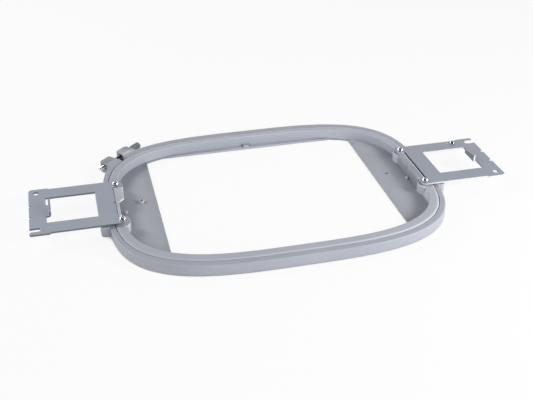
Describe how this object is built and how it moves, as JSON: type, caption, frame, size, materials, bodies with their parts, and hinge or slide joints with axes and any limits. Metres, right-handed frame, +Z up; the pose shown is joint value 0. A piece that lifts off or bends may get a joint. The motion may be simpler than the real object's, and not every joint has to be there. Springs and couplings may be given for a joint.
{
  "type": "machine embroidery hoop",
  "caption": "Machine embroidery hoop: a screw-clamped split outer ring round an inner ring with a floor and a windowed steel bracket at each end for the machine's arms.",
  "frame": {"origin": "under the hoop's centre, on the surface that both rings lie on", "axes": "+X along the brackets towards the one with the index screw, +Y towards the clamp's side, +Z up out of the inner ring"},
  "size_m": [0.5132, 0.2801, 0.0238],
  "materials": {
    "outer_plastic": "fine-grained moulded grey plastic",
    "inner_plastic": "fine-grained moulded grey plastic, a shade paler",
    "bracket_steel": "satin plated sheet steel with a bluish cast",
    "bright_steel": "bright plated steel",
    "insert_brass": "turned brass",
    "knob_steel": "knurled dull grey plated steel"
  },
  "bodies": {
    "outer_half": {"outer_ring": "outer_plastic", "clamp_nut": "bright_steel"},
    "inner_half": {"inner_ring": "inner_plastic", "right_bracket": "bracket_steel", "left_bracket": "bracket_steel", "right_front_screw": "bright_steel", "right_back_screw": "bright_steel", "left_front_screw": "bright_steel", "left_back_screw": "bright_steel", "right_front_insert": "insert_brass", "right_back_insert": "insert_brass", "left_front_insert": "insert_brass", "left_back_insert": "insert_brass", "index_screw": "bright_steel", "index_nut": "bright_steel"},
    "loose_washer": {"clamp_washer": "bright_steel"},
    "thumb_screw": {"clamp_screw": "bright_steel", "clamp_knob": "knob_steel"}
  },
  "joints": [
    {"name": "inner_lift", "type": "slide", "parent": "outer_half", "child": "inner_half", "axis": [0, 0, 1], "range_m": [0, 0.04]},
    {"name": "clamp_travel", "type": "slide", "parent": "outer_half", "child": "loose_washer", "axis": [0.7071, 0.7071, 0], "range_m": [0, 0.0035]},
    {"name": "clamp_turn", "type": "hinge", "parent": "loose_washer", "child": "thumb_screw", "pos_m": [-0.15768, 0.1102, 0.0075], "axis": [0.7071, 0.7071, 0], "range_deg": [0, 1801]}
  ],
  "couplings": [
    {"joint": "clamp_turn", "follows": "clamp_travel", "rad_per_m": 8976}
  ]
}
